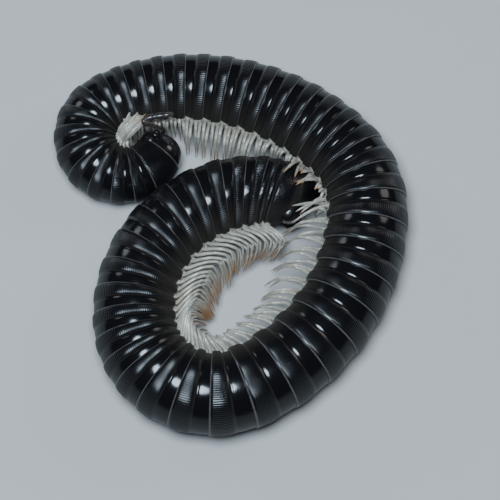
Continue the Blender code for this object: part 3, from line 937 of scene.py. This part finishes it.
def draw_sheaf_core(shape, hole, lean, across, number):
    """The soft mass of leg roots and belly skin that fills the sheaf between its legs."""
    count = CORE_STEPS * (len(SHEAF_CORE) - 1) + 1
    spots = numpy.linspace(0, len(SHEAF_CORE) - 1, count)
    columns = (numpy.interp(spots, range(len(SHEAF_CORE)), column) for column in zip(*SHEAF_CORE))
    alongs, heights, widths, depths = (column.tolist() for column in columns)
    upright = Vector((0, 0, 1))
    points = [hole + lean * along + upright * height for along, height in zip(alongs, heights)]
    loops = []
    places = []
    for index, point in enumerate(points):
        heading = (points[min(index + 1, count - 1)] - points[max(index - 1, 0)]).normalized()
        turned = Matrix((across, heading.cross(across), heading)).transposed().to_4x4()
        size = Matrix.Diagonal((widths[index], depths[index], 1.0, 1.0))
        loops.append(Matrix.Translation(point) @ turned @ size)
        places.append(number + 0.05 + 0.5 * index / (count - 1))
    drawn = len(shape.verts)
    draw_tube(shape, loops, places, CORE_SIDES)
    shape.verts.ensure_lookup_table()
    for vert in shape.verts[drawn:]:
        spot = vert.co / MM
        lump = math.sin(spot.x * 34 + 2 * math.sin(spot.y * 9))
        lump *= math.sin(spot.y * 31 + 2 * math.sin(spot.x * 8))
        strand = math.sin(spot.dot(across) * 46 + 1.5 * math.sin(spot.dot(lean) * 7))
        vert.co.z += (0.022 * lump + 0.020 * strand) * MM


def near_groove(place, line, width):
    """How near a point is to a groove line, from 0 far off to 1 in the groove."""
    distance = min((Vector(place) - Vector(point)).length for point in line)
    return max(0.0, 1.0 - (distance / width) ** 2)


class MILLIPEDE_OT_head(bpy.types.Operator):
    """Make the head capsule with its cheeks, lip and seams"""

    bl_idname = "millipede.head"
    bl_label = "Head"

    def execute(self, context):
        settings = context.scene.millipede_head
        centre, axes = head_axes()
        forms = bmesh.new()
        for place, size, faces in MIDDLE_FORMS:
            add_ball(forms, head_point(place), size, axes, *faces)
        for mirror in (1, -1):
            for (ahead, back, side), size, faces in PAIRED_FORMS:
                add_ball(forms, head_point((ahead, back, side * mirror)), size, axes, *faces)
        shape = self.joined_forms(context, forms, settings.grain)
        self.cut_seams(shape, centre, axes)
        finish_piece("head_capsule", shape, head_material(), "head")
        return {"FINISHED"}

    def joined_forms(self, context, forms, grain):
        """One smooth skin round all the forms, worked out at a size of millimetres."""
        enlarge = Matrix.Scale(1 / MM, 4)
        bmesh.ops.transform(forms, matrix=enlarge, verts=forms.verts)
        item = add_object("head_forms", mesh_of("head_forms", forms))
        remesh = item.modifiers.new("joined", "REMESH")
        remesh.mode = "VOXEL"
        remesh.voxel_size = grain / MM
        context.view_layer.update()
        evaluated = item.evaluated_get(context.evaluated_depsgraph_get())
        joined = bpy.data.meshes.new_from_object(evaluated)
        bpy.data.objects.remove(item, do_unlink=True)
        shape = bmesh.new()
        shape.from_mesh(joined)
        bpy.data.meshes.remove(joined)
        ways = {"use_axis_x": True, "use_axis_y": True, "use_axis_z": True}
        for step in range(SMOOTHING_STEPS):
            bmesh.ops.smooth_vert(shape, verts=shape.verts, factor=0.5, **ways)
        bmesh.ops.transform(shape, matrix=enlarge.inverted(), verts=shape.verts)
        bmesh.ops.recalc_face_normals(shape, faces=shape.faces)
        return shape

    def cut_seams(self, shape, centre, axes):
        """Shallow grooves, in mm: along the crown, round each cheek and above the lip."""
        crown = [(0.90 - 0.02 * step, 0.30 + 0.05 * step, 0.0) for step in range(12)]
        cheek = [
            (0.62 - 0.07 * step, -0.28 - 0.02 * step ** 1.2, 0.74 + 0.03 * step)
            for step in range(8)
        ]
        cheek += [(0.60, -0.30 - 0.07 * step, 0.60 - 0.035 * step) for step in range(9)]
        lip = [(0.62, -0.80, -0.42 + 0.07 * step) for step in range(13)]
        turned = Matrix(axes)
        for vert in shape.verts:
            local = turned @ (vert.co - centre) / MM
            place = (local.x, local.y, abs(local.z))
            depth = 0.016 * near_groove(place, crown, 0.05)
            depth += 0.030 * near_groove(place, cheek, 0.07)
            depth += 0.026 * near_groove((local.x, local.y, local.z), lip, 0.08)
            vert.co -= vert.normal * depth * MM


def on_head(place):
    """The point of the head's ball that lies in the direction of a place, and the way out."""
    unit = Vector([value / size for value, size in zip(place, HEAD_BALL)]).normalized()
    surface = [value * size for value, size in zip(unit, HEAD_BALL)]
    surface[0] += HEAD_SHIFT
    way = Vector([value / size for value, size in zip(unit, HEAD_BALL)]).normalized()
    centre, axes = head_axes()
    return head_point(surface), axes[0] * way.x + axes[1] * way.y + axes[2] * way.z


class MILLIPEDE_OT_ocelli(bpy.types.Operator):
    """Make the two patches of small eyes"""

    bl_idname = "millipede.ocelli"
    bl_label = "Ocelli"

    def execute(self, context):
        settings = context.scene.millipede_head
        black = (0.010, 0.009, 0.012)
        material = plain_material("ocelli_gloss", black, 0.10, 6000.0, 0.001 * MM, 0.6)
        for side, mirror in (("left", 1), ("right", -1)):
            shape = bmesh.new()
            for row, count in enumerate(OCELLI_ROWS):
                for index in range(count):
                    self.add_ocellus(shape, row, index, count, mirror, settings.ocellus)
            finish_piece("ocelli_" + side, shape, material, "eye_" + side)
        return {"FINISHED"}

    def add_ocellus(self, shape, row, index, count, mirror, radius):
        pitch = radius * OCELLUS_PITCH
        across = (index - (count - 1) / 2) * pitch
        down = (row - (len(OCELLI_ROWS) - 1) / 2) * pitch * OCELLI_ROW_PITCH
        ahead, back, side = EYE_PLACE
        place = (ahead + down * 0.80, back + across, (side - down * 0.60) * mirror)
        spot, outward = on_head(place)
        size = radius * (0.92 + 0.08 * math.sin(row * 2.3 + index * 1.7))
        made = bmesh.ops.create_icosphere(shape, subdivisions=2, radius=size)
        sunk = outward * size * OCELLUS_SINK
        bmesh.ops.translate(shape, vec=spot - sunk, verts=made["verts"])


class MILLIPEDE_OT_feelers(bpy.types.Operator):
    """Make the two feelers of seven segments, with their short hairs"""

    bl_idname = "millipede.feelers"
    bl_label = "Feelers"

    def execute(self, context):
        brown = tuple(context.scene.millipede_head.feeler_colour)
        material = plain_material("feeler_cuticle", brown, 0.32, 5000.0, 0.006 * MM)
        hairs = plain_material("hair", (0.35, 0.30, 0.24), 0.4, 9000.0, 0.001 * MM)
        steps = len(FEELER_PINCHES)
        for side, places in (("left", LEFT_FEELER), ("right", RIGHT_FEELER)):
            route = eased([head_point(place) for place in places], steps)
            radii = []
            for index in range(len(route)):
                size = numpy.interp(index / steps, range(len(FEELER_GIRTHS)), FEELER_GIRTHS)
                radii.append(float(size) * FEELER_PINCHES[index % steps] * MM)
            loops = path_loops(route, radii)
            self.make_feeler(side, route, loops, material)
            self.make_hairs(side, route, loops, hairs)
        return {"FINISHED"}

    def make_feeler(self, side, route, loops, material):
        shape = start_shape()
        draw_tube(shape, loops, [index / len(route) for index in range(len(route))], FEELER_SIDES)
        heading = (route[-1] - route[-2]).normalized()
        for index in range(CONES_ROUND):
            angle = index * CONE_TURN
            foot = loops[-1] @ Vector((0.6 * math.cos(angle), 0.6 * math.sin(angle), 0.0))
            add_bristle(shape, foot, heading, 0.05 * MM, 0.014 * MM)
        lay_pattern_map(shape, "feeler_map", 0, 1)
        finish_piece("feeler_" + side, shape, material, "antenna_" + side)

    def make_hairs(self, side, route, loops, material):
        shape = start_shape()
        for index in range(FIRST_HAIRY_LOOP, len(loops) - 1):
            for spoke in range(HAIRS_ROUND):
                angle = spoke * HAIR_TURN + index * HAIR_TWIST
                foot = loops[index] @ Vector((math.cos(angle), math.sin(angle), 0.0))
                outward = (foot - route[index]).normalized()
                heading = outward * 0.55 + (route[index + 1] - route[index]).normalized()
                add_bristle(shape, foot, heading.normalized(), 0.060 * MM, 0.0045 * MM)
        finish_piece(f"feeler_{side}_hairs", shape, material)


class MILLIPEDE_OT_tail(bpy.types.Operator):
    """Make the tail piece with its pointed end, two valves and bristles"""

    bl_idname = "millipede.tail"
    bl_label = "Tail"

    def execute(self, context):
        self.make_tail_piece(context.scene.millipede_body)
        middle, axes = tail_frame()
        along, inward, side = VALVE_PLACE
        valves = bmesh.new()
        bristles = start_shape()
        for mirror in (1, -1):
            centre = middle + axes[0] * along + axes[1] * inward + axes[2] * side * mirror
            add_ball(valves, centre, VALVE_SIZE, axes, 40, 28)
            for index in range(BRISTLE_COUNT):
                self.add_valve_bristle(bristles, centre, axes, mirror, index)
        finish_piece("tail_valves", valves, head_material())
        pale = plain_material("bristle", (0.66, 0.62, 0.54), 0.35, 9000.0, 0.001 * MM)
        finish_piece("tail_bristles", bristles, pale)
        return {"FINISHED"}

    def make_tail_piece(self, settings):
        station = ring_margins()[RING_COUNT]
        first, span = TAIL_PLACES
        loops = [loop_at(station, TAIL_ROOT, -HIDDEN_FRONT)]
        places = [first]
        for along, inward, radius in TAIL_LOOPS:
            loops.append(loop_at(station, radius, along, inward))
            places.append(first + span * along / TAIL_LOOPS[-1][0])
        make_ringed_piece("tail_piece", "telson", loops, places, TAIL_MAP_ENDS, settings)

    def add_valve_bristle(self, shape, centre, axes, mirror, index):
        """A bristle on the valve's rim, leaning to the tail and away from the other valve."""
        angle = math.radians(2 + 7.0 * index)
        flat = math.sqrt(1 - BRISTLE_LIFT ** 2)
        way = Vector((math.cos(angle) * flat, math.sin(angle) * flat, BRISTLE_LIFT * mirror))
        foot = centre
        outward = Vector((0, 0, 0))
        for axis, part, size in zip(axes, way, VALVE_SIZE):
            foot = foot + axis * part * size
            outward = outward + axis * part / size
        length = (0.18 + 0.04 * math.sin(index * 2.9)) * MM
        heading = outward.normalized() + axes[0] * 0.30 + axes[2] * 0.35 * mirror
        add_bristle(shape, foot, heading.normalized(), length, 0.013 * MM)


def aim(item, target):
    item.rotation_mode = "QUATERNION"
    item.rotation_quaternion = (target - item.location).to_track_quat("-Z", "Y")


class MILLIPEDE_OT_stage(bpy.types.Operator):
    """Make the floor, the lights and the camera at the photo's angle"""

    bl_idname = "millipede.stage"
    bl_label = "Stage"

    def execute(self, context):
        target = Vector(CAMERA_TARGET)
        self.make_floor(context.scene)
        self.make_camera(context.scene, target)
        for row in LIGHTS:
            self.make_light(target, *row)
        world = bpy.data.worlds.new("studio")
        world.use_nodes = True
        sky = world.node_tree.nodes["Background"]
        set_inputs(world.node_tree, sky, {"Color": SKY_COLOUR, "Strength": SKY_STRENGTH})
        context.scene.world = world
        return {"FINISHED"}

    def make_floor(self, scene):
        settings = scene.millipede_stage
        shape = bmesh.new()
        bmesh.ops.create_grid(shape, x_segments=1, y_segments=1, size=settings.floor_size / 2)
        mesh = mesh_of("floor", shape)
        paper = settings.floor_colour
        material, tree, shader = new_material("floor_paper", paper, 0.85, 0.2)
        tone = tuple(value * 0.96 for value in paper)
        set_inputs(tree, shader, {"Base Color": noise(tree, 60.0).blend(paper, tone)})
        mesh.materials.append(material)
        add_object("floor", mesh)

    def make_camera(self, scene, target):
        camera = add_object("camera", bpy.data.cameras.new("camera"))
        back = Vector((0.0, -math.cos(CAMERA_ELEVATION), math.sin(CAMERA_ELEVATION)))
        camera.location = target + back * CAMERA_DISTANCE
        aim(camera, target)
        camera.data.sensor_width = CAMERA_SENSOR
        camera.data.lens = CAMERA_LENS
        camera.data.clip_start = 10 * MM
        camera.data.clip_end = 2.0
        scene.camera = camera

    def make_light(self, target, name, place, width, power, colour):
        light = bpy.data.lights.new(name, "AREA")
        light.shape = "DISK"
        light.size = width * MM
        light.energy = power
        light.color = colour
        lamp = add_object(name, light)
        lamp.location = [value * MM for value in place]
        aim(lamp, target)


class MILLIPEDE_PT_panel(bpy.types.Panel):
    """Sidebar panel with one button for each operator"""

    bl_idname = "MILLIPEDE_PT_panel"
    bl_label = "Snake millipede"
    bl_space_type = "VIEW_3D"
    bl_region_type = "UI"
    bl_category = "Millipede"

    def draw(self, context):
        for operator in OPERATORS:
            self.layout.operator(operator.bl_idname)


OPERATORS = (
    MILLIPEDE_OT_stage,
    MILLIPEDE_OT_rings,
    MILLIPEDE_OT_collar,
    MILLIPEDE_OT_legs,
    MILLIPEDE_OT_head,
    MILLIPEDE_OT_ocelli,
    MILLIPEDE_OT_feelers,
    MILLIPEDE_OT_tail,
)
SETTINGS = (
    ("millipede_body", BodySettings),
    ("millipede_legs", LegSettings),
    ("millipede_head", HeadSettings),
    ("millipede_stage", StageSettings),
)


def register():
    for name, settings in SETTINGS:
        bpy.utils.register_class(settings)
        setattr(bpy.types.Scene, name, bpy.props.PointerProperty(type=settings))
    for operator in OPERATORS:
        bpy.utils.register_class(operator)
    bpy.utils.register_class(MILLIPEDE_PT_panel)


def unregister():
    bpy.utils.unregister_class(MILLIPEDE_PT_panel)
    for operator in reversed(OPERATORS):
        bpy.utils.unregister_class(operator)
    for name, settings in reversed(SETTINGS):
        delattr(bpy.types.Scene, name)
        bpy.utils.unregister_class(settings)


def main():
    register()
    bpy.ops.millipede.stage()
    bpy.ops.millipede.rings()
    bpy.ops.millipede.collar()
    bpy.ops.millipede.legs()
    bpy.ops.millipede.head()
    bpy.ops.millipede.ocelli()
    bpy.ops.millipede.feelers()
    bpy.ops.millipede.tail()


if __name__ == "__main__":
    main()
